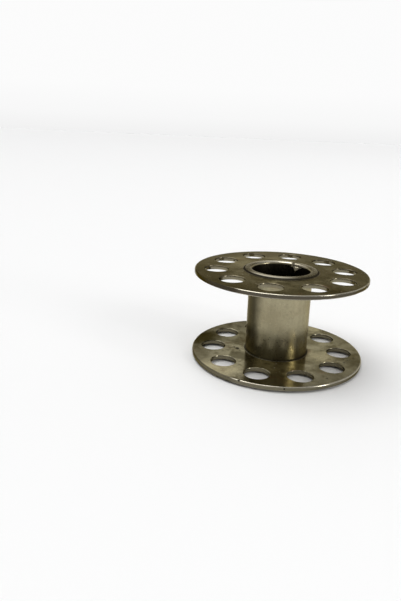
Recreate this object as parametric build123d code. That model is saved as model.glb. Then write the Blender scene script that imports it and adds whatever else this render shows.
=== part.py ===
# A pressed-steel sewing machine bobbin, nickel plated, standing on its lower end.
#
# Three pieces of thin sheet hold each other. A strip rolled into a sleeve is the hub: it meets
# itself in a butt seam that runs from end to end, and its two ends are thinned to a neck, passed
# through the flanges and spun outwards into a lip. Each flange is a flat disc with a ring of
# pierced holes, trapped between the shoulder of the sleeve and the lip.
#
# Millimetres, +Z up along the spindle axis, with the origin under the middle of the lower lip.
# -Y is the side that faces the viewer.

import os

from build123d import *

# Flanges: one pressing, used at both ends
FLANGE_DIAMETER = 20.3
FLANGE_THICKNESS = 0.5
RIM_BREAK = 0.12  # both edges of the rim, tumbled smooth
HOLE_COUNT = 10
HOLE_DIAMETER = 2.9
RIM_WEB = 1.1  # sheet left between each hole and the rim
PUNCH_BREAK = 0.07  # where the punch entered each hole, on the outer face
UPPER_HOLE_ANGLE = 10.7  # degrees from +X to the first hole
LOWER_HOLE_ANGLE = 4.0

# Sleeve: the rolled hub between the flanges
WINDING_WIDTH = 9.4  # from flange to flange, the room for the thread
HUB_DIAMETER = 7.4
SHOULDER_WIDTH = 0.1  # step from the hub down to the neck, the seat of the flange
SHOULDER_BEVEL = 0.06  # the shoulder's outer corner
LIP_THICKNESS = 0.2  # wall of the sleeve's thinned ends, at the neck and along the lip
LIP_REACH = 0.7  # from the neck out over the flange
LIP_EDGE_BEVEL = 0.09  # the lip's outer edge, rolled over by the spinning tool
LIP_UNDERCUT = 0.05  # the bevel that leaves a dark line between the lip's edge and the flange
LIP_BEND = 0.1  # inside of the bend, and the matching bevel around the flange's bore

# Butt seam of the rolled strip
SEAM_ANGLE = 67.0  # degrees from +X, at the back and to the right
SEAM_GAP = 0.08
SEAM_MOUTH = 0.68  # the gap at the edge of a lip, where spinning pulls the strip apart
TORN_CORNER = 0.2  # further width lost at the upper lip, where one corner has torn away

hub_radius = HUB_DIAMETER / 2
neck_radius = hub_radius - SHOULDER_WIDTH
bore_radius = neck_radius - LIP_THICKNESS
lip_radius = neck_radius + LIP_REACH
flange_radius = FLANGE_DIAMETER / 2
hole_circle_radius = flange_radius - RIM_WEB - HOLE_DIAMETER / 2

overall_height = WINDING_WIDTH + 2 * (FLANGE_THICKNESS + LIP_THICKNESS)
middle = overall_height / 2
upper_face = overall_height - LIP_THICKNESS  # outer face of the upper flange
shoulder = upper_face - FLANGE_THICKNESS  # inner face of the upper flange, and its seat
lower_face = LIP_THICKNESS  # outer face of the lower flange


def face_rings(disc, level):
    """The circles on one face of a flange: its holes, then its bore, then its rim."""
    circles = disc.edges().filter_by(GeomType.CIRCLE)
    return circles.group_by(Axis.Z)[level].sort_by(SortBy.RADIUS)


def pressed_flange():
    """One flange lying on z = 0, outer face up, with its first hole on +X."""
    blank = Circle(flange_radius) - Circle(neck_radius)
    blank -= PolarLocations(hole_circle_radius, HOLE_COUNT) * Circle(HOLE_DIAMETER / 2)
    disc = extrude(blank, FLANGE_THICKNESS)

    inner_face, outer_face = 0, -1
    rim = [face_rings(disc, inner_face)[-1], face_rings(disc, outer_face)[-1]]
    disc = chamfer(rim, RIM_BREAK)
    disc = chamfer(face_rings(disc, outer_face)[:HOLE_COUNT], PUNCH_BREAK)
    return chamfer(face_rings(disc, outer_face)[HOLE_COUNT], LIP_BEND)


def sleeve_half_section():
    """The wall of the sleeve from mid-height up, in the XZ plane."""
    bend_x = neck_radius + LIP_BEND
    bend_z = upper_face - LIP_BEND
    edge_x = lip_radius - LIP_EDGE_BEVEL
    edge_z = overall_height - LIP_EDGE_BEVEL
    with BuildSketch(Plane.XZ) as section:
        with BuildLine():
            Line((bore_radius, middle), (bore_radius, bend_z))
            CenterArc((bend_x, bend_z), LIP_BEND + LIP_THICKNESS, 180, -90)
            Line((bend_x, overall_height), (edge_x, overall_height))
            Line((edge_x, overall_height), (lip_radius, edge_z))
            Line((lip_radius, edge_z), (lip_radius, upper_face + LIP_UNDERCUT))
            Line((lip_radius, upper_face + LIP_UNDERCUT), (lip_radius - LIP_UNDERCUT, upper_face))
            Line((lip_radius - LIP_UNDERCUT, upper_face), (bend_x, upper_face))
            Line((bend_x, upper_face), (neck_radius, bend_z))
            Line((neck_radius, bend_z), (neck_radius, shoulder))
            Line((neck_radius, shoulder), (hub_radius - SHOULDER_BEVEL, shoulder))
            Line((hub_radius - SHOULDER_BEVEL, shoulder), (hub_radius, shoulder - SHOULDER_BEVEL))
            Line((hub_radius, shoulder - SHOULDER_BEVEL), (hub_radius, middle))
            Line((hub_radius, middle), (bore_radius, middle))
        make_face()
    return section.sketch


def seam_mouth(torn_width):
    """The wedge that the seam opens into across a lip, on +X, as an outline seen from above."""
    lip_width = lip_radius - bore_radius
    reach = 2 * lip_width
    spread = (SEAM_MOUTH - SEAM_GAP) / 2 * reach / lip_width
    torn_spread = torn_width * reach / lip_width
    return Polygon(
        (bore_radius, SEAM_GAP / 2),
        (bore_radius, -SEAM_GAP / 2),
        (bore_radius + reach, -SEAM_GAP / 2 - spread - torn_spread),
        (bore_radius + reach, SEAM_GAP / 2 + spread),
        align=None,
    )


def seam_cutter():
    """The slot between the strip's two edges, with its wider mouth at each lip, on +X."""
    clear = 1.0
    reach = lip_radius + clear
    slot = Pos(reach / 2, 0, middle) * Box(reach, SEAM_GAP, overall_height + clear)
    upper_mouth = Pos(0, 0, upper_face) * extrude(seam_mouth(TORN_CORNER), LIP_THICKNESS + clear)
    lower_mouth = Pos(0, 0, lower_face) * extrude(seam_mouth(0), -LIP_THICKNESS - clear)
    return slot + upper_mouth + lower_mouth


def rolled_sleeve():
    """The hub: the section turned about the axis, opened along its seam."""
    upper = revolve(sleeve_half_section(), Axis.Z)
    lower = mirror(upper, Plane.XY.offset(middle))
    tube = upper + lower
    return tube - Rot(0, 0, SEAM_ANGLE) * seam_cutter()


def upper_flange():
    return Pos(0, 0, shoulder) * Rot(0, 0, UPPER_HOLE_ANGLE) * pressed_flange()


def lower_flange():
    """The same pressing turned over, outer face down."""
    turned = Rot(180, 0, 0) * pressed_flange()
    return Pos(0, 0, lower_face + FLANGE_THICKNESS) * Rot(0, 0, LOWER_HOLE_ANGLE) * turned


pieces = {
    "hub_sleeve": rolled_sleeve(),
    "upper_flange": upper_flange(),
    "lower_flange": lower_flange(),
}

os.makedirs("parts", exist_ok=True)
for name, piece in pieces.items():
    piece.label = name
    export_step(piece, f"parts/{name}.step")
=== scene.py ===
from math import atan2, cos, pi, radians, sin

import bmesh
import bpy
from mathutils import Matrix, Vector, noise


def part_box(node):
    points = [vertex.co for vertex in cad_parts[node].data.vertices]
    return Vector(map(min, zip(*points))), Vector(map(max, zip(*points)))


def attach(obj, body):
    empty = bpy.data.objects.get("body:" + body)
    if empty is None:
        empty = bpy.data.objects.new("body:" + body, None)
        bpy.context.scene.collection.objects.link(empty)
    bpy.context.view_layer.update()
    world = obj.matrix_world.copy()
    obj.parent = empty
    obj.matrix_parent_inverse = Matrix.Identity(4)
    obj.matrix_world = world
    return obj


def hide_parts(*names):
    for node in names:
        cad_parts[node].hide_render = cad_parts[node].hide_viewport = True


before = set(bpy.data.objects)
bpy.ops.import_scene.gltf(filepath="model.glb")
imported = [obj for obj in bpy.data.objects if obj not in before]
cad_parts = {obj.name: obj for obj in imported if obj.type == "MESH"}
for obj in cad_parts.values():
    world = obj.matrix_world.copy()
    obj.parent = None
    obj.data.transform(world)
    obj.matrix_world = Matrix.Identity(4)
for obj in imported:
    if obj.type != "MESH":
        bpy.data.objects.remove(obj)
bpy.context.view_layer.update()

# The camera of the photograph: close to the bobbin, a little above the upper flange, looking
# slightly left of the spindle axis. Its place and angles were fitted to the flanges' outlines.
photo_height = 601
focal_pixels = 525.2
camera_data = bpy.data.cameras.new("camera")
camera_data.sensor_width = 36.0
camera_data.lens = camera_data.sensor_width * focal_pixels / photo_height
pixels_right, pixels_up = -18.2, -38.5
camera_data.shift_x = pixels_right / photo_height
camera_data.shift_y = pixels_up / photo_height
camera_data.clip_start = 0.002
camera_data.clip_end = 20.0
camera = bpy.data.objects.new("camera", camera_data)
bpy.context.scene.collection.objects.link(camera)
camera_place = Matrix.Translation((0, -0.06034, 0.025664))
turn_left = Matrix.Rotation(radians(7.02), 4, "Z")
tilt_down = Matrix.Rotation(radians(90 - 13.54), 4, "X")
lean = Matrix.Rotation(radians(2.46), 4, "Z")
camera.matrix_world = camera_place @ turn_left @ tilt_down @ lean
bpy.context.scene.camera = camera

# The two flanges: discs blanked and pierced from thin steel sheet, then tumbled and nickel
# plated. The outer faces are darker, as painted shade, the faces that the thread covers are
# cleaner and more golden, and the sheared walls are brown, with painted shade on the rim walls.
mm = 0.001
flange_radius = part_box("upper_flange")[1].x
flange_thickness = 0.5 * mm
neck_radius = 3.6 * mm
hub_radius = 3.7 * mm
lip_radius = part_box("hub_sleeve")[1].x
hub_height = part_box("hub_sleeve")[1].z
hole_radius = 1.45 * mm
hole_circle_radius = 7.6 * mm
hole_count = 10
first_holes = {"upper_flange": 10.7, "lower_flange": 4.0}  # degrees from +X
rim_break = 0.12 * mm
punch_break = 0.07 * mm
bore_break = 0.1 * mm
rim_segments = 200
hole_segments = 48
nicks_per_metre = 900
nick_level = 0.28  # of the noise, above which the rim is nicked
nick_depth = 0.012  # of the radius
# Near-black for the dirty pits, and painted shade in the crevices by lip and hub and at the lip's
# foot.
grime_and_shade = (0.03, 0.025, 0.016)


def flange_disc():
    """The pierced disc on z = 0, outer face up, with its first hole on +X."""
    shape = bmesh.new()
    bmesh.ops.create_circle(shape, segments=rim_segments, radius=flange_radius)
    bmesh.ops.create_circle(shape, segments=rim_segments // 2, radius=neck_radius)
    for hole in range(hole_count):
        turn = Matrix.Rotation(hole * 2 * pi / hole_count, 4, "Z")
        place = turn @ Matrix.Translation((hole_circle_radius, 0, 0))
        bmesh.ops.create_circle(shape, segments=hole_segments, radius=hole_radius, matrix=place)
    bmesh.ops.triangle_fill(shape, use_beauty=True, edges=shape.edges[:], normal=(0, 0, 1))
    risen = bmesh.ops.extrude_face_region(shape, geom=shape.faces[:])["geom"]
    upper_points = [part for part in risen if isinstance(part, bmesh.types.BMVert)]
    bmesh.ops.translate(shape, vec=(0, 0, flange_thickness), verts=upper_points)
    bmesh.ops.recalc_face_normals(shape, faces=shape.faces[:])
    return shape


def soften(shape, nearest, farthest, size, steps):
    """Rounds the sharp edges whose distance from the axis lies in a range."""
    edges = []
    for edge in shape.edges:
        middle = (edge.verts[0].co + edge.verts[1].co) / 2
        if edge.calc_face_angle(0) > 1 and nearest < middle.xy.length < farthest:
            edges.append(edge)
    bmesh.ops.bevel(
        shape, geom=edges, offset=size, affect="EDGES", segments=steps, profile=0.5, material=-1
    )


def finished_piece(name, shape, material, node):
    """Turns a shape into an object that stands for a CAD node and moves with the body."""
    for face in shape.faces:
        face.smooth = abs(face.normal.z) < 0.999
    mesh = bpy.data.meshes.new(name)
    shape.to_mesh(mesh)
    shape.free()
    mesh.materials.append(material)
    piece = bpy.data.objects.new(name, mesh)
    bpy.context.scene.collection.objects.link(piece)
    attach(piece, "root")
    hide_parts(node)
    return piece


class Finish:
    """A node material on Object coordinates, with the few steps that plated steel needs."""

    def __init__(self, name, edge_tint):
        self.material = bpy.data.materials.new(name)
        self.material.use_nodes = True
        self.nodes = self.material.node_tree.nodes
        self.links = self.material.node_tree.links
        self.shader = self.nodes["Principled BSDF"]
        self.shader.inputs["Specular Tint"].default_value = (*edge_tint, 1)
        self.shader.inputs["Specular IOR Level"].default_value = 0.0
        self.place = self.nodes.new("ShaderNodeTexCoord").outputs["Object"]
        self.axes = self.nodes.new("ShaderNodeSeparateXYZ")
        self.links.new(self.place, self.axes.inputs[0])
        self.height = self.axes.outputs["Z"]

    def stretched(self, scale):
        mapping = self.nodes.new("ShaderNodeMapping")
        mapping.inputs["Scale"].default_value = scale
        self.links.new(self.place, mapping.inputs["Vector"])
        return mapping.outputs["Vector"]

    def clouds(self, scale, detail, vector=None, roughness=0.55):
        texture = self.nodes.new("ShaderNodeTexNoise")
        texture.inputs["Scale"].default_value = scale
        texture.inputs["Detail"].default_value = detail
        texture.inputs["Roughness"].default_value = roughness
        self.links.new(self.place if vector is None else vector, texture.inputs["Vector"])
        return texture.outputs["Fac"]

    def cells(self, scale):
        texture = self.nodes.new("ShaderNodeTexVoronoi")
        texture.inputs["Scale"].default_value = scale
        self.links.new(self.place, texture.inputs["Vector"])
        return texture.outputs["Distance"]

    def ranged(self, value, low, high, to_low=0.0, to_high=1.0):
        step = self.nodes.new("ShaderNodeMapRange")
        step.interpolation_type = "SMOOTHSTEP"
        limits = {"From Min": low, "From Max": high, "To Min": to_low, "To Max": to_high}
        for socket, number in limits.items():
            step.inputs[socket].default_value = number
        self.links.new(value, step.inputs["Value"])
        return step.outputs["Result"]

    def math(self, operation, first, second=0.0):
        step = self.nodes.new("ShaderNodeMath")
        step.operation = operation
        for socket, value in zip(step.inputs, (first, second)):
            if isinstance(value, (int, float)):
                socket.default_value = value
            else:
                self.links.new(value, socket)
        return step.outputs[0]

    def both(self, first, second):
        return self.math("MULTIPLY", first, second)

    def radius(self):
        x, y = self.axes.outputs["X"], self.axes.outputs["Y"]
        return self.math("SQRT", self.math("ADD", self.both(x, x), self.both(y, y)))

    def angle(self):
        return self.math("ARCTAN2", self.axes.outputs["Y"], self.axes.outputs["X"])

    def arc(self, angle, rise, fall, share=1.0):
        """Full along an arc round the axis, between a rise and a fall given in degrees."""
        start = self.ranged(angle, radians(rise[0]), radians(rise[1]))
        end = self.ranged(angle, radians(fall[0]), radians(fall[1]), share, 0.0)
        return self.both(start, end)

    def distance_to(self, point):
        step = self.nodes.new("ShaderNodeVectorMath")
        step.operation = "DISTANCE"
        step.inputs[1].default_value = point
        self.links.new(self.place, step.inputs[0])
        return step.outputs["Value"]

    def tinted(self, share, first, second):
        mix = self.nodes.new("ShaderNodeMix")
        mix.data_type = "RGBA"
        self.links.new(share, mix.inputs[0])
        for socket, colour in ((mix.inputs[6], first), (mix.inputs[7], second)):
            if isinstance(colour, tuple):
                socket.default_value = (*colour, 1)
            else:
                self.links.new(colour, socket)
        return mix.outputs[2]

    def relief(self, height, depth, strength, after=None):
        bump = self.nodes.new("ShaderNodeBump")
        bump.inputs["Strength"].default_value = strength
        bump.inputs["Distance"].default_value = depth
        self.links.new(height, bump.inputs["Height"])
        if after is not None:
            self.links.new(after, bump.inputs["Normal"])
        return bump.outputs["Normal"]

    def connect(self, socket, value):
        self.links.new(value, self.shader.inputs[socket])


def flange_zones(finish):
    """Shares of the outer faces, the inner faces and the sheared walls, by height."""
    from_middle = finish.math("ABSOLUTE", finish.math("SUBTRACT", finish.height, hub_height / 2))
    outer_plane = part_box("upper_flange")[1].z - hub_height / 2
    inner_plane = outer_plane - flange_thickness
    outer = finish.ranged(from_middle, outer_plane - 0.11 * mm, outer_plane - 0.05 * mm)
    inner = finish.ranged(from_middle, inner_plane + 0.05 * mm, inner_plane + 0.11 * mm, 1.0, 0.0)
    wall = finish.math("SUBTRACT", finish.math("SUBTRACT", 1.0, outer), inner)
    return outer, inner, wall


def flange_faces(finish, radius, outer):
    """Patchy plate, duller towards the rim, with patches of painted shade and painted highlight that
    also read as stains and wear, and darker outer faces as painted shade.
    """
    patches = finish.ranged(finish.clouds(230, 6, roughness=0.65), 0.42, 0.60)
    covered = finish.tinted(patches, (0.50, 0.46, 0.32), (0.30, 0.27, 0.18))
    # The outer faces get a darker copy of the plate, as painted shade.
    shaded_outer = finish.tinted(patches, (0.31, 0.275, 0.19), (0.15, 0.125, 0.085))
    toward_rim = finish.ranged(radius, 5.6 * mm, 9.4 * mm, 0.0, 0.6)
    covered = finish.tinted(toward_rim, covered, (0.22, 0.20, 0.145))
    shaded_outer = finish.tinted(toward_rim, shaded_outer, (0.11, 0.095, 0.065))
    colour = finish.tinted(outer, covered, shaded_outer)
    scuffs = finish.ranged(finish.clouds(900, 6, roughness=0.7), 0.48, 0.66, 0.0, 0.7)
    colour = finish.tinted(scuffs, colour, (0.15, 0.13, 0.085))

    lower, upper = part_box("lower_flange")[1].z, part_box("upper_flange")[1].z
    # Patches of painted shade and painted highlight, placed where the flanges look dark and bright,
    # which also read as stains and wear.
    stain_and_shade, wear_and_sheen = (0.055, 0.046, 0.03), (0.76, 0.68, 0.44)
    ragged = finish.ranged(finish.clouds(650, 5), 0.3, 0.7, -0.8 * mm, 0.8 * mm)
    for x, y, face, size, share, mark in (
        (-9.6, 1.4, lower, 4.2, 0.9, stain_and_shade),
        (-4.2, -3.3, lower, 1.5, 0.6, stain_and_shade),
        (-4.6, 1.2, lower, 1.6, 0.4, stain_and_shade),
        (9.6, -2.0, lower, 3.4, 0.5, stain_and_shade),
        (-5.9, -7.0, lower, 3.4, 0.6, wear_and_sheen),
        (5.0, 8.1, lower, 2.0, 0.8, wear_and_sheen),
        (5.0, -1.2, lower, 2.6, 0.65, wear_and_sheen),
        (-0.7, -5.2, upper, 0.9, 0.7, wear_and_sheen),
        (-4.6, 2.4, upper, 3.2, 0.35, wear_and_sheen),
        (5.4, 5.2, upper, 5.5, 0.65, stain_and_shade),
    ):
        reach = finish.math("ADD", finish.distance_to((x * mm, y * mm, face)), ragged)
        spread = finish.ranged(reach, 0.2 * size * mm, size * mm, share, 0.0)
        colour = finish.tinted(spread, colour, mark)
    warm_patches = finish.ranged(finish.clouds(420, 3), 0.60, 0.72, 0.0, 0.5)
    return finish.tinted(warm_patches, colour, (0.24, 0.16, 0.105))


def flange_edges(finish, radius, wall, colour):
    """The rim's edge with wear and a painted highlight, dark at the front left as painted shade, and
    the brown sheared walls, with painted shade on the rim walls.
    """
    # A painted highlight along the rim's edge, painted dark in an arc at the front left as shade.
    shaded_edge_arc = finish.arc(finish.angle(), (-175, -160), (-118, -112))
    edge_colour = finish.tinted(shaded_edge_arc, (0.64, 0.60, 0.49), (0.05, 0.042, 0.028))
    edge_wear_and_highlight = finish.ranged(radius, flange_radius - 0.16 * mm, flange_radius - 0.08 * mm, 0.0, 0.85)
    colour = finish.tinted(edge_wear_and_highlight, colour, edge_colour)
    at_rim = finish.ranged(radius, 9.3 * mm, 9.9 * mm)
    # Painted shade on the rim walls, darker on the upper flange.
    upper_rim_shade = finish.ranged(finish.height, 0.4 * hub_height, 0.6 * hub_height)
    shaded_rim_wall = finish.tinted(upper_rim_shade, (0.15, 0.135, 0.09), (0.045, 0.037, 0.024))
    sheared = finish.tinted(at_rim, (0.19, 0.17, 0.115), shaded_rim_wall)
    return finish.tinted(finish.both(wall, 0.93), colour, sheared)


def flange_pits(finish):
    """Fields of fine specks, and the larger pits of the lower flange's inner face."""
    specks = finish.ranged(finish.cells(1500), 0.10, 0.22, 1.0, 0.0)
    speck_fields = finish.ranged(finish.clouds(350, 2), 0.55, 0.66)
    pits = finish.both(specks, speck_fields)
    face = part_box("lower_flange")[1].z
    for x, y, size in (
        (-4.57, -0.95, 0.24),
        (-4.98, -0.65, 0.11),
        (-4.99, -4.05, 0.12),
        (-3.6, -9.5, 0.14),
    ):
        reach = finish.distance_to((x * mm, y * mm, face))
        pit = finish.ranged(reach, 0.8 * size * mm, 1.2 * size * mm, 1.0, 0.0)
        pits = finish.math("MAXIMUM", pits, pit)
    return pits


def flange_nickel():
    """Satin plate on both flanges, with dirty pits and painted shade in the crevices by lip and hub.
    """
    finish = Finish("flange_nickel", (0.49, 0.455, 0.35))
    radius = finish.radius()
    outer, inner, wall = flange_zones(finish)
    colour = flange_faces(finish, radius, outer)
    colour = flange_edges(finish, radius, wall, colour)
    # Painted shade in the crevices by the lip on the outer faces and by the hub on the inner faces.
    by_lip = finish.ranged(radius, lip_radius + 0.10 * mm, lip_radius + 0.28 * mm, 1.0, 0.0)
    by_hub = finish.ranged(radius, hub_radius, hub_radius + 0.3 * mm, 0.9, 0.0)
    crevice_shade = finish.math("MAXIMUM", finish.both(outer, by_lip), finish.both(inner, by_hub))
    colour = finish.tinted(crevice_shade, colour, grime_and_shade)
    pits = flange_pits(finish)
    finish.connect("Base Color", finish.tinted(pits, colour, grime_and_shade))
    pits_and_crevice_shade = finish.math("MAXIMUM", pits, crevice_shade)
    finish.connect("Metallic", finish.math("SUBTRACT", 1.0, pits_and_crevice_shade))

    grain = finish.clouds(5200, 3)
    haze = finish.ranged(finish.clouds(500, 4), 0.35, 0.7, 0.14, 0.23)
    satin = finish.math("ADD", haze, finish.ranged(grain, 0.3, 0.7, -0.03, 0.05))
    finish.connect("Roughness", finish.math("MAXIMUM", satin, finish.both(pits_and_crevice_shade, 0.95)))
    swell = finish.relief(finish.clouds(210, 2), 0.05 * mm, 0.6)
    pebbled = finish.relief(grain, 0.003 * mm, 0.4, swell)
    finish.connect("Normal", finish.relief(finish.both(pits, -1.0), 0.03 * mm, 0.6, pebbled))
    return finish.material


def nick_rim(disc, first_hole):
    """Small dents round the rim, other ones on each flange."""
    for point in disc.verts:
        if point.co.xy.length > flange_radius - 2.5 * rim_break:
            level = noise.noise(point.co * nicks_per_metre + Vector((0, 0, first_hole)))
            point.co.xy *= 1 - max(0.0, level - nick_level) * nick_depth


plate = flange_nickel()
for node, first_hole in first_holes.items():
    disc = flange_disc()
    soften(disc, flange_radius - 0.2 * mm, flange_radius + mm, rim_break, 4)
    soften(disc, neck_radius + 0.5 * mm, flange_radius - 0.5 * mm, punch_break, 3)
    soften(disc, 0, neck_radius + 0.2 * mm, bore_break, 3)
    nick_rim(disc, first_hole)
    if node == "lower_flange":
        turn_over = Matrix.Rotation(pi, 3, "X")
        bmesh.ops.rotate(disc, cent=(0, 0, flange_thickness / 2), matrix=turn_over, verts=disc.verts)
    to_first_hole = Matrix.Rotation(radians(first_hole), 3, "Z")
    bmesh.ops.rotate(disc, cent=(0, 0, 0), matrix=to_first_hole, verts=disc.verts)
    bmesh.ops.translate(disc, vec=(0, 0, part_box(node)[0].z), verts=disc.verts)
    finished_piece(node.replace("_flange", "_disc"), disc, plate, node)

# The hub: a strip of steel rolled into a sleeve, with a butt seam. Its thinned ends are passed
# through the flanges and spun out over them as lips, which polishes them. At the upper lip one
# corner has torn, and its burr hangs into the bore.
bore_radius = 3.4 * mm
lip_thickness = 0.2 * mm
lip_crown = (3.87 * mm, 4.08 * mm)  # where the lip's top starts to fall, and falls faster
lip_fall = 0.07 * mm
upper_face = hub_height - lip_thickness
upper_seat = upper_face - flange_thickness
seam_angle = radians(67)
seam_gap = 0.012 * mm
gap_angle = seam_gap / hub_radius
seam_spread = 0.34 * mm  # that each side moves at the lip's edge
seam_fade = radians(25)  # over which the lip is pulled sideways with the seam
torn_width = 0.2 * mm
split_depth = 0.55 * mm  # below each end, where the seam starts to open


def sleeve_outline(shape):
    """The wall's section in the XZ plane, as one face with sharp corners and crowned lips."""
    upper = (
        (bore_radius, hub_height),
        (lip_crown[0], hub_height),
        (lip_crown[1], hub_height - 0.3 * lip_fall),
        (lip_radius, hub_height - lip_fall),
        (lip_radius, upper_face),
        (neck_radius, upper_face),
        (neck_radius, upper_seat),
        (hub_radius, upper_seat),
    )
    lower = [(x, hub_height - z) for x, z in reversed(upper)]
    points = [shape.verts.new((x, 0, z)) for x, z in (*upper, *lower)]
    return shape.faces.new(points)


def corner_rings(shape, radius, height, slack=0.01 * mm):
    """The edges that run round the sleeve at one corner of its section, and at its mirror."""
    rings = []
    for edge in shape.edges:
        ends = [abs(point.co.xy.length - radius) < slack for point in edge.verts]
        first, second = (point.co.z for point in edge.verts)
        at_level = min(abs(first - height), abs(first - hub_height + height)) < slack
        if all(ends) and at_level and abs(first - second) < slack:
            rings.append(edge)
    return rings


def opening_turn(place):
    """The turn that opens the seam into a V at both ends, wider at the torn upper corner."""
    from_end = min(place.z, hub_height - place.z)
    if from_end > split_depth:
        return 0.0
    on_lip = from_end < lip_thickness + 0.02 * mm
    across_lip = (place.xy.length - bore_radius) / (lip_radius - bore_radius)
    opened = 0.35 * (1 - from_end / split_depth) + 0.65 * across_lip * on_lip
    turn = seam_spread / lip_radius * opened
    from_left = atan2(place.y, place.x) % (2 * pi)
    from_right = max(0.0, 2 * pi - gap_angle - from_left)
    if from_left < seam_fade:
        return turn * (1 - from_left / seam_fade) ** 2
    if from_right < seam_fade:
        if place.z > hub_height / 2:
            ragged = 1 + 0.6 * noise.noise(place * 4000)
            turn += torn_width / lip_radius * opened * ragged
        return -turn * (1 - from_right / seam_fade) ** 2
    return 0.0


sleeve = bmesh.new()
section = sleeve_outline(sleeve)
bmesh.ops.spin(
    sleeve,
    geom=[section, *section.edges, *section.verts],
    cent=(0, 0, 0),
    axis=(0, 0, 1),
    angle=2 * pi - gap_angle,
    steps=160,
    use_duplicate=False,
)
bmesh.ops.recalc_face_normals(sleeve, faces=sleeve.faces[:])
for radius, height, size, steps in (
    (bore_radius, hub_height, 0.3 * mm, 6),
    (lip_radius, hub_height - lip_fall, 0.085 * mm, 5),
    (lip_radius, upper_face, 0.03 * mm, 2),
    (neck_radius, upper_face, 0.1 * mm, 2),
    (hub_radius, upper_seat, 0.06 * mm, 3),
):
    bmesh.ops.bevel(
        sleeve,
        geom=corner_rings(sleeve, radius, height),
        offset=size,
        affect="EDGES",
        segments=steps,
        profile=0.5,
        material=-1,
    )
cuts = (0.35 * mm, split_depth)
for level in (*cuts, hub_height / 2, *(hub_height - cut for cut in reversed(cuts))):
    everything = [*sleeve.verts, *sleeve.edges, *sleeve.faces]
    bmesh.ops.bisect_plane(sleeve, geom=everything, plane_co=(0, 0, level), plane_no=(0, 0, 1))
for point in sleeve.verts:
    point.co = Matrix.Rotation(opening_turn(point.co), 3, "Z") @ point.co
to_seam = Matrix.Rotation(seam_angle + gap_angle / 2, 3, "Z")
bmesh.ops.rotate(sleeve, cent=(0, 0, 0), matrix=to_seam, verts=sleeve.verts)

# The burr at the seam: a ragged scrap of the torn corner, which is still part of the sleeve and
# was pressed down into the bore when the lip was spun.
burr_start, burr_end = radians(70), radians(44)
burr_top = hub_height - 0.3 * mm
burr_thickness = 0.05 * mm
burr = bmesh.ops.create_grid(sleeve, x_segments=14, y_segments=3, size=0.5)["verts"]
burr_faces = list({face for point in burr for face in point.link_faces})
for point in burr:
    along, down = point.co.x + 0.5, 0.5 - point.co.y
    hump = max(0.0, 1 - abs(along - 0.5) / 0.3)
    drop = (0.16 + 0.55 * hump + 0.16 * noise.noise(Vector((along * 8, 0, 3)))) * mm
    angle = burr_start + (burr_end - burr_start) * along
    curl = (0.03 - 0.32 * down * (0.3 + hump)) * mm
    crumple = 0.06 * mm * down * noise.noise(Vector((along * 9, down * 2, 8)))
    near = bore_radius + curl + crumple
    point.co = (near * cos(angle), near * sin(angle), burr_top - drop * down)
bmesh.ops.recalc_face_normals(sleeve, faces=burr_faces)
bmesh.ops.solidify(sleeve, geom=burr_faces, thickness=burr_thickness)


def hub_wall(finish, angle, grain, mottle):
    """The wall's colour: an upright grain, a painted dark reflection at the left and painted shade at
    the foot.
    """
    patches = finish.ranged(finish.clouds(330, 5), 0.40, 0.68)
    colour = finish.tinted(patches, (0.345, 0.31, 0.20), (0.29, 0.255, 0.16))
    colour = finish.tinted(finish.ranged(grain, 0.35, 0.75, 0.0, 0.35), colour, (0.24, 0.215, 0.135))
    colour = finish.tinted(finish.ranged(mottle, 0.45, 0.75, 0.0, 0.4), colour, (0.22, 0.195, 0.125))
    specks = finish.ranged(finish.clouds(5200, 2), 0.67, 0.74, 0.0, 0.35)
    colour = finish.tinted(specks, colour, (0.10, 0.085, 0.055))

    # A painted dark reflection in an upright band at the wall's left.
    drift = finish.math("ADD", angle, finish.ranged(finish.clouds(500, 3), 0.2, 0.8, -0.05, 0.05))
    below_flange = finish.ranged(finish.height, upper_seat, upper_seat + 0.1 * mm, 1.0, 0.0)
    dark_reflection = finish.both(finish.arc(drift, (-171, -160), (-139, -117), 0.9), below_flange)
    colour = finish.tinted(dark_reflection, colour, (0.03, 0.025, 0.013))
    # Painted shade, a dark reflection, darker towards the foot of the wall.
    waver = finish.ranged(finish.clouds(300, 1), 0.2, 0.8, -0.2 * mm, 0.2 * mm)
    foot_shade_height = finish.math("ADD", finish.height, waver)
    foot_shade = finish.ranged(foot_shade_height, 0.9 * mm, 3.2 * mm, 0.5, 0.0)
    return finish.tinted(foot_shade, colour, (0.10, 0.085, 0.05))


def lip_shares(finish, radius, angle):
    """The whole upper lip, the two polished arcs of it that carry painted highlights, and painted
    shade at its foot.
    """
    on_lip = finish.both(
        finish.ranged(radius, bore_radius + 0.03 * mm, bore_radius + 0.15 * mm),
        finish.ranged(finish.height, upper_face - 0.1 * mm, upper_face + 0.02 * mm),
    )
    # Painted highlights on two arcs of the lip, which are also polished smoother.
    bright_front = finish.arc(angle, (-155, -115), (-90, -55))
    bright_back = finish.arc(angle, (66, 70), (110, 165))
    burnish_and_highlight = finish.both(on_lip, finish.math("MAXIMUM", bright_front, bright_back))
    # Painted shade at the foot of the lip's edge, where it meets the flange.
    lip_foot_shade = finish.both(
        finish.ranged(radius, lip_radius - 0.15 * mm, lip_radius - 0.06 * mm),
        finish.ranged(finish.height, upper_face + 0.13 * mm, upper_face + 0.18 * mm, 0.93, 0.0),
    )
    return on_lip, burnish_and_highlight, lip_foot_shade


def bore_share(finish, radius):
    """The dirty wall of the bore, below the bend of the upper lip."""
    from_wall = finish.math("ABSOLUTE", finish.math("SUBTRACT", radius, bore_radius))
    return finish.both(
        finish.ranged(from_wall, 0.01 * mm, 0.04 * mm, 1.0, 0.0),
        finish.ranged(finish.height, upper_face - 0.15 * mm, hub_height - 0.1 * mm, 1.0, 0.0),
    )


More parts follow.
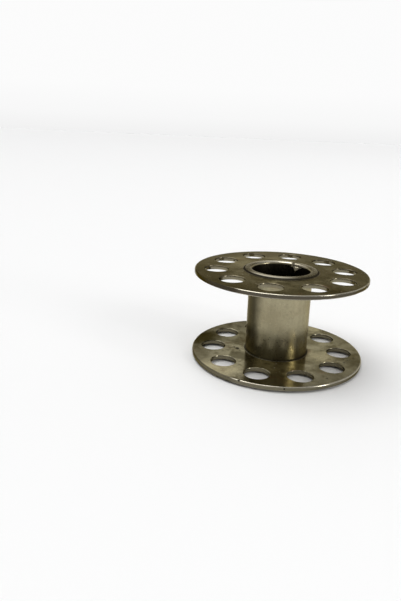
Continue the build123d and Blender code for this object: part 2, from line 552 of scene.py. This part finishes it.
def sleeve_nickel():
    """Satin plate on the wall, polished on the lips, which are painted dark as shade with painted
    highlights on two arcs, dull at the torn corner and in the bore.
    """
    finish = Finish("sleeve_nickel", (0.70, 0.65, 0.52))
    radius, angle = finish.radius(), finish.angle()
    grain = finish.clouds(2400, 4, finish.stretched((1.0, 1.0, 0.09)))
    mottle = finish.clouds(3800, 3)
    colour = hub_wall(finish, angle, grain, mottle)
    on_lip, burnish_and_highlight, lip_foot_shade = lip_shares(finish, radius, angle)
    # The lip is painted dark, as shade; its two polished arcs are painted bright as highlights.
    colour = finish.tinted(on_lip, colour, (0.115, 0.10, 0.068))
    colour = finish.tinted(burnish_and_highlight, colour, (0.70, 0.65, 0.53))
    near_top = finish.ranged(finish.height, upper_face - 0.9 * mm, upper_face, 0.0, 0.7)
    torn = finish.both(finish.arc(angle, (22, 40), (65, 67)), near_top)
    colour = finish.tinted(torn, colour, (0.34, 0.31, 0.24))
    colour = finish.tinted(bore_share(finish, radius), colour, (0.085, 0.072, 0.048))
    finish.connect("Base Color", finish.tinted(lip_foot_shade, colour, grime_and_shade))
    finish.connect("Metallic", finish.math("SUBTRACT", 1.0, lip_foot_shade))

    wall_roughness = finish.ranged(mottle, 0.3, 0.7, 0.27, 0.33)
    polish = finish.math("ADD", finish.both(on_lip, 0.04), finish.both(burnish_and_highlight, 0.09))
    finish.connect("Roughness", finish.math("SUBTRACT", wall_roughness, polish))
    swell = finish.relief(finish.clouds(420, 1), 0.015 * mm, 0.3)
    finish.connect("Normal", finish.relief(grain, 0.001 * mm, 0.25, swell))
    return finish.material


finished_piece("rolled_hub", sleeve, sleeve_nickel(), "hub_sleeve")

# The floor: a wide sheet of plain white paper, which the lower lip stands on.
floor_mesh = bpy.data.meshes.new("floor")
sheet = bmesh.new()
bmesh.ops.create_grid(sheet, x_segments=1, y_segments=1, size=8.0)
sheet.to_mesh(floor_mesh)
sheet.free()
floor = bpy.data.objects.new("floor", floor_mesh)
bpy.context.scene.collection.objects.link(floor)
paper = bpy.data.materials.new("white_paper")
paper.use_nodes = True
paper_shader = paper.node_tree.nodes["Principled BSDF"]
paper_shader.inputs["Base Color"].default_value = (0.93, 0.93, 0.93, 1)
paper_shader.inputs["Roughness"].default_value = 0.9
paper_shader.inputs["Specular IOR Level"].default_value = 0.0
floor_mesh.materials.append(paper)

# The studio: a white sweep up to just above the camera's view, with a dim room over it. Behind
# the bobbin, two bright openings face it, a high one to the left and a lower one to the right.
world = bpy.data.worlds.new("studio")
bpy.context.scene.world = world
world.use_nodes = True
sky = world.node_tree.nodes
sky_links = world.node_tree.links
sky.clear()
direction = sky.new("ShaderNodeTexCoord")
split = sky.new("ShaderNodeSeparateXYZ")
sky_links.new(direction.outputs["Generated"], split.inputs[0])
sweep = ((0.0, 0.885), (0.03, 0.935), (0.08, 0.97), (0.228, 0.97))


def brightness_by_height(stops):
    """A grey for each height above the horizon, as the sine of its angle."""
    ramp = sky.new("ShaderNodeValToRGB")
    ramp.color_ramp.interpolation = "LINEAR"
    elements = ramp.color_ramp.elements
    elements[0].position, elements[1].position = stops[0][0], stops[-1][0]
    for element, (_, grey) in zip(elements, (stops[0], stops[-1])):
        element.color = (grey, grey, grey, 1)
    for place, grey in stops[1:-1]:
        elements.new(place).color = (grey, grey, grey, 1)
    sky_links.new(split.outputs["Z"], ramp.inputs["Fac"])
    return ramp.outputs["Color"]


def blended(axis, low, high, first, second):
    """Passes from one side of the room to the other along an axis."""
    side = sky.new("ShaderNodeMapRange")
    side.interpolation_type = "SMOOTHSTEP"
    side.inputs["From Min"].default_value = low
    side.inputs["From Max"].default_value = high
    sky_links.new(split.outputs[axis], side.inputs["Value"])
    room = sky.new("ShaderNodeMix")
    room.data_type = "RGBA"
    sky_links.new(side.outputs["Result"], room.inputs[0])
    sky_links.new(first, room.inputs[6])
    sky_links.new(second, room.inputs[7])
    return room.outputs[2]


behind_left = brightness_by_height(
    (*sweep, (0.239, 0.30), (0.29, 0.28), (0.34, 0.12), (0.40, 0.60), (0.44, 1.0), (1.0, 0.8))
)
behind_right = brightness_by_height(
    (*sweep, (0.239, 0.08), (0.30, 0.09), (0.34, 0.85), (0.40, 0.75), (0.45, 0.32), (1.0, 0.6))
)
behind = blended("X", -0.14, 0.14, behind_left, behind_right)
in_front = brightness_by_height((*sweep, (0.239, 0.10), (0.60, 0.12), (0.80, 0.55), (1.0, 0.75)))
glow = sky.new("ShaderNodeBackground")
sky_links.new(blended("Y", -0.25, 0.25, in_front, behind), glow.inputs["Color"])
studio_output = sky.new("ShaderNodeOutputWorld")
sky_links.new(glow.outputs["Background"], studio_output.inputs["Surface"])

# The lamps: one broad soft lamp overhead, a little to the left, and a slim upright one far to
# the right of the camera, which draws the light stripe down the hub.
overhead_data = bpy.data.lights.new("overhead_lamp", "SUN")
overhead_data.energy = 1.35
overhead_data.angle = radians(45)
overhead = bpy.data.objects.new("overhead_lamp", overhead_data)
overhead.rotation_euler = Vector((-0.3, 0.1, 1.0)).to_track_quat("Z", "Y").to_euler()
bpy.context.scene.collection.objects.link(overhead)

strip_data = bpy.data.lights.new("strip_lamp", "AREA")
strip_data.shape = "RECTANGLE"
strip_data.size = 0.14
strip_data.size_y = 0.7
strip_data.energy = 3.6
strip = bpy.data.objects.new("strip_lamp", strip_data)
strip_bearing = radians(66)
strip.location = (sin(strip_bearing), -cos(strip_bearing), 0.36)
strip.rotation_euler = (strip.location - Vector((0, 0, 0.005))).to_track_quat("Z", "Y").to_euler()
bpy.context.scene.collection.objects.link(strip)

bpy.context.scene.view_settings.view_transform = "Standard"
